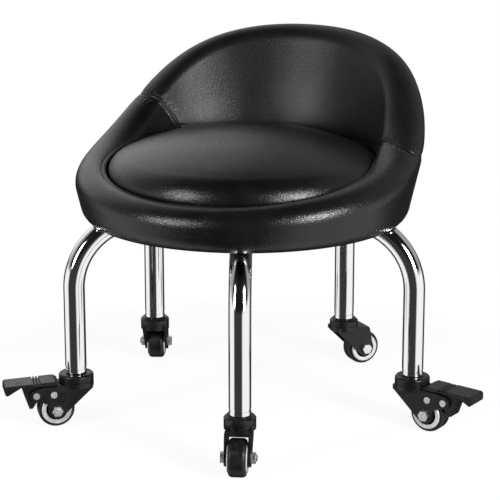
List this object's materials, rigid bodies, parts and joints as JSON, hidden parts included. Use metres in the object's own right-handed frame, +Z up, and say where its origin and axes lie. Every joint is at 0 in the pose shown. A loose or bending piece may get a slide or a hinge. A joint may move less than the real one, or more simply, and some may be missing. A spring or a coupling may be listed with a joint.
{
  "type": "low rolling stool",
  "caption": "Low rolling work stool: a padded bucket seat with a low wrap-round back on bent chromed legs with swivel casters, some with foot brakes.",
  "frame": {"origin": "on the floor, under the seat's axis", "axes": "+Z up, -Y towards the front of the seat (the way the sitter faces), +Y towards the back"},
  "size_m": [0.4667, 0.4211, 0.385],
  "materials": {
    "leatherette": "semi-gloss pebble grain",
    "plywood": "raw",
    "zinc_steel": "bright zinc",
    "dust_cloth": "spunbond cloth",
    "chrome_tube": "mirror",
    "black_plastic": "satin",
    "hub_plastic": "satin",
    "tyre": "smooth",
    "silver_trim": "silver"
  },
  "bodies": {
    "seat_and_legs": {"seat_bolster": "leatherette", "seat_cushion": "leatherette", "seat_board": "plywood", "back_panel": "plywood", "back_panel_screws": "zinc_steel", "dust_cover": "dust_cloth", "leg_bolts": "zinc_steel", "tee_nuts": "zinc_steel", "leg_end_plugs": "black_plastic", "stem_sockets": "black_plastic", "thrust_washers": "black_plastic", "leg_right": "chrome_tube", "caster_stem_right": "zinc_steel", "swivel_cap_right": "black_plastic", "leg_back": "chrome_tube", "caster_stem_back": "zinc_steel", "swivel_cap_back": "black_plastic", "leg_back_left": "chrome_tube", "caster_stem_back_left": "zinc_steel", "swivel_cap_back_left": "black_plastic", "leg_front_left": "chrome_tube", "caster_stem_front_left": "zinc_steel", "swivel_cap_front_left": "black_plastic", "leg_front": "chrome_tube", "caster_stem_front": "zinc_steel", "swivel_cap_front": "black_plastic"},
    "caster_right": {"fork_right": "black_plastic", "axle_set_right": "zinc_steel", "brake_rivets_right": "zinc_steel"},
    "wheel_right": {"wheel_hub_right": "hub_plastic", "tyre_right": "tyre", "trim_rings_right": "silver_trim"},
    "brake_right": {"brake_pedal_right": "black_plastic"},
    "caster_back": {"fork_back": "black_plastic", "axle_set_back": "zinc_steel"},
    "wheel_back": {"wheel_hub_back": "hub_plastic", "tyre_back": "tyre", "trim_rings_back": "silver_trim"},
    "caster_back_left": {"fork_back_left": "black_plastic", "axle_set_back_left": "zinc_steel"},
    "wheel_back_left": {"wheel_hub_back_left": "hub_plastic", "tyre_back_left": "tyre", "trim_rings_back_left": "silver_trim"},
    "caster_front_left": {"fork_front_left": "black_plastic", "axle_set_front_left": "zinc_steel", "brake_rivets_front_left": "zinc_steel"},
    "wheel_front_left": {"wheel_hub_front_left": "hub_plastic", "tyre_front_left": "tyre", "trim_rings_front_left": "silver_trim"},
    "brake_front_left": {"brake_pedal_front_left": "black_plastic"},
    "caster_front": {"fork_front": "black_plastic", "axle_set_front": "zinc_steel"},
    "wheel_front": {"wheel_hub_front": "hub_plastic", "tyre_front": "tyre", "trim_rings_front": "silver_trim"}
  },
  "joints": [
    {"name": "swivel_right", "type": "hinge", "parent": "seat_and_legs", "child": "caster_right", "pos_m": [0.18167, 0.01095, 0.045], "axis": [0, 0, 1], "continuous": true},
    {"name": "roll_right", "type": "hinge", "parent": "caster_right", "child": "wheel_right", "pos_m": [0.20327, 0.00675, 0.019], "axis": [0.1908, 0.9816, 0], "continuous": true},
    {"name": "brake_press_right", "type": "hinge", "parent": "caster_right", "child": "brake_right", "pos_m": [0.22388, 0.00275, 0.036], "axis": [0.1908, 0.9816, 0], "range_deg": [0, 19]},
    {"name": "swivel_back", "type": "hinge", "parent": "seat_and_legs", "child": "caster_back", "pos_m": [0.04572, 0.17616, 0.045], "axis": [0, 0, 1], "continuous": true},
    {"name": "roll_back", "type": "hinge", "parent": "caster_back", "child": "wheel_back", "pos_m": [0.06044, 0.19251, 0.019], "axis": [-0.7431, 0.6691, 0], "continuous": true},
    {"name": "swivel_back_left", "type": "hinge", "parent": "seat_and_legs", "child": "caster_back_left", "pos_m": [-0.15341, 0.09792, 0.045], "axis": [0, 0, 1], "continuous": true},
    {"name": "roll_back_left", "type": "hinge", "parent": "caster_back_left", "child": "wheel_back_left", "pos_m": [-0.1613, 0.11846, 0.019], "axis": [-0.9336, -0.3584, 0], "continuous": true},
    {"name": "swivel_front_left", "type": "hinge", "parent": "seat_and_legs", "child": "caster_front_left", "pos_m": [-0.14054, -0.11564, 0.045], "axis": [0, 0, 1], "continuous": true},
    {"name": "roll_front_left", "type": "hinge", "parent": "caster_front_left", "child": "wheel_front_left", "pos_m": [-0.15834, -0.12857, 0.019], "axis": [0.5878, -0.809, 0], "continuous": true},
    {"name": "brake_press_front_left", "type": "hinge", "parent": "caster_front_left", "child": "brake_front_left", "pos_m": [-0.17532, -0.14092, 0.036], "axis": [0.5878, -0.809, 0], "range_deg": [0, 19]},
    {"name": "swivel_front", "type": "hinge", "parent": "seat_and_legs", "child": "caster_front", "pos_m": [0.06656, -0.16939, 0.045], "axis": [0, 0, 1], "continuous": true},
    {"name": "roll_front", "type": "hinge", "parent": "caster_front", "child": "wheel_front", "pos_m": [0.07335, -0.19032, 0.019], "axis": [0.9511, 0.309, 0], "continuous": true}
  ]
}
